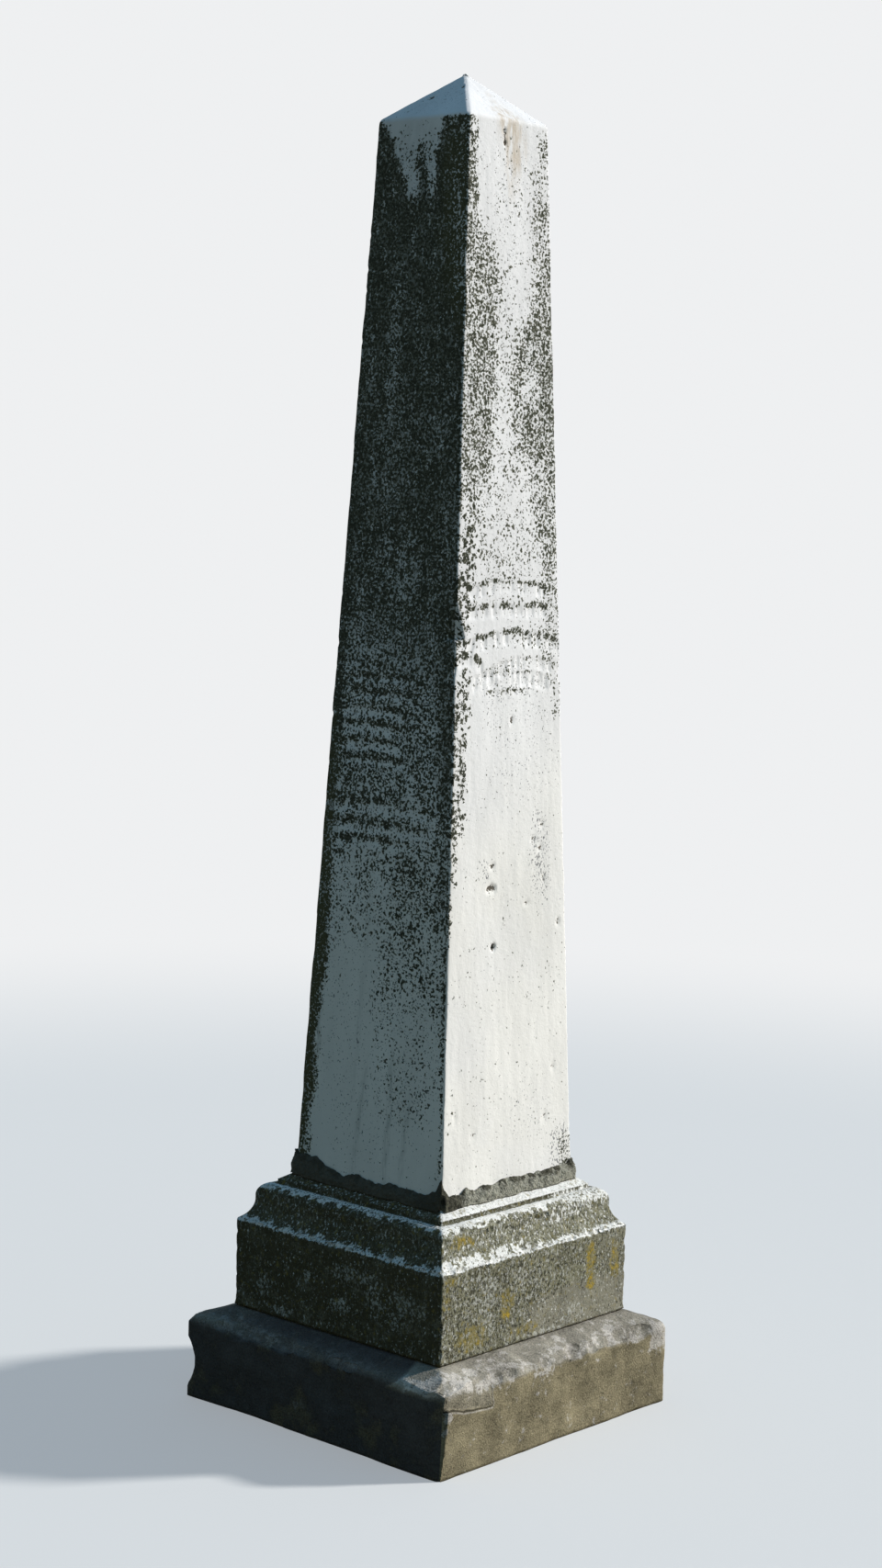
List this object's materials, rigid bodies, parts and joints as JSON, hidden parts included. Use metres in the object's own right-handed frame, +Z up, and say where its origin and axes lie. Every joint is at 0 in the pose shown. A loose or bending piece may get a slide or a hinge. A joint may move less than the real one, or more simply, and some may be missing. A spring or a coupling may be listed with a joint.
{
  "type": "weathered marble obelisk monument",
  "caption": "Weathered marble obelisk: a tapered square shaft with a low pyramid top, bedded in mortar on a moulded base stone and a footing stone.",
  "frame": {"origin": "on the shaft's axis, at the centre of the footing's underside", "axes": "+Z up; +X is the sunlit side with the flaked and spalled footing edge, -Y is the shaded side that meets it at the near edge"},
  "size_m": [0.712, 0.712, 2.7187],
  "materials": {
    "footing_limestone": "rough, worn and chipped limestone",
    "bed_mortar": "raked back, dark and mossy",
    "base_marble": "weathered marble with dark drips and lichen",
    "fillet_mortar": "coarse hand-pressed mortar",
    "shaft_marble": "white marble, sugary with weather, speckled with dark lichen"
  },
  "bodies": {
    "root": {"footing_stone": "footing_limestone", "footing_bed_joint": "bed_mortar", "base_stone": "base_marble", "shaft_bed_joint": "bed_mortar", "mortar_front": "fillet_mortar", "mortar_right": "fillet_mortar", "mortar_back": "fillet_mortar", "mortar_left": "fillet_mortar", "shaft": "shaft_marble"}
  },
  "joints": []
}
